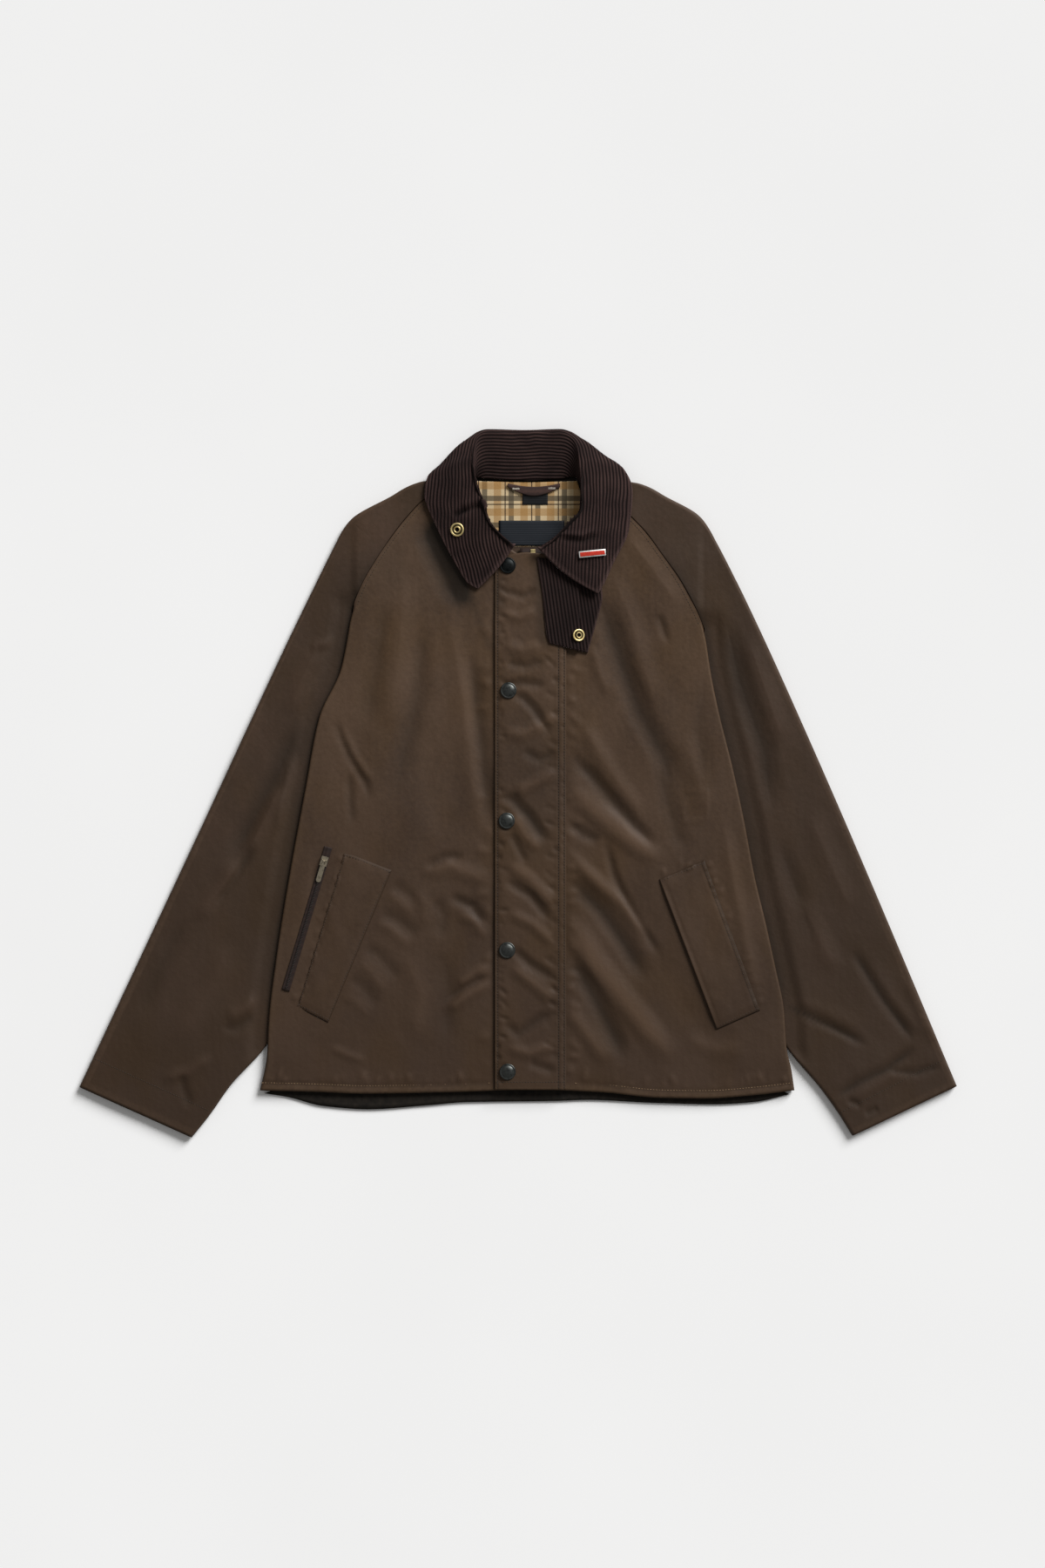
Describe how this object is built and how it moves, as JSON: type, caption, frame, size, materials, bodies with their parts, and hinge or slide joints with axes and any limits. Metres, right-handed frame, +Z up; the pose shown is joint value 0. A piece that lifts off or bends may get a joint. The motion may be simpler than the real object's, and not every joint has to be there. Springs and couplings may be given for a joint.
{
  "type": "waxed cotton jacket",
  "caption": "Waist-length waxed cotton jacket laid flat, with raglan sleeves, corduroy collar, throat tab, snap placket and slanted welt pockets.",
  "frame": {"origin": "centre of the bounding box's footprint, on the surface that the jacket lies on", "axes": "+X towards the viewer's right, across both sleeves; +Y from hem to collar; +Z up, away from the surface"},
  "size_m": [1.006, 0.8111, 0.0253],
  "materials": {
    "waxed_cotton": "waxed, low sheen",
    "corduroy": "ribbed pile",
    "lining": "woven check",
    "label": "woven satin",
    "zip_metal": "aged",
    "snap_metal": "dark gunmetal",
    "stud_metal": "polished",
    "zip_tape": "woven",
    "enamel": "gloss enamel"
  },
  "bodies": {
    "jacket": {"back": "waxed_cotton", "front_right": "waxed_cotton", "front_left": "waxed_cotton", "sleeve_right": "waxed_cotton", "sleeve_left": "waxed_cotton", "placket": "waxed_cotton", "pocket_welt_left": "waxed_cotton", "pocket_welt_right": "waxed_cotton", "collar": "corduroy", "throat_tab": "corduroy", "lining_yoke": "lining", "neck_label": "label", "size_tab": "label", "snap_1": "snap_metal", "snap_2": "snap_metal", "snap_3": "snap_metal", "snap_4": "snap_metal", "snap_5": "snap_metal", "collar_stud": "stud_metal", "tab_stud": "stud_metal", "pocket_zip_slider": "zip_metal", "front_zip": "zip_tape", "pocket_zip": "zip_tape", "hanger_loop": "zip_tape", "collar_pin": "enamel"},
    "zip_pull": {"pocket_zip_pull": "zip_metal"}
  },
  "joints": [
    {"name": "zip_pull_swing", "type": "hinge", "parent": "jacket", "child": "zip_pull", "pos_m": [-0.22187, -0.08829, 0.01585], "axis": [-0.9581, 0.2863, 0], "range_deg": [0, 150]}
  ]
}
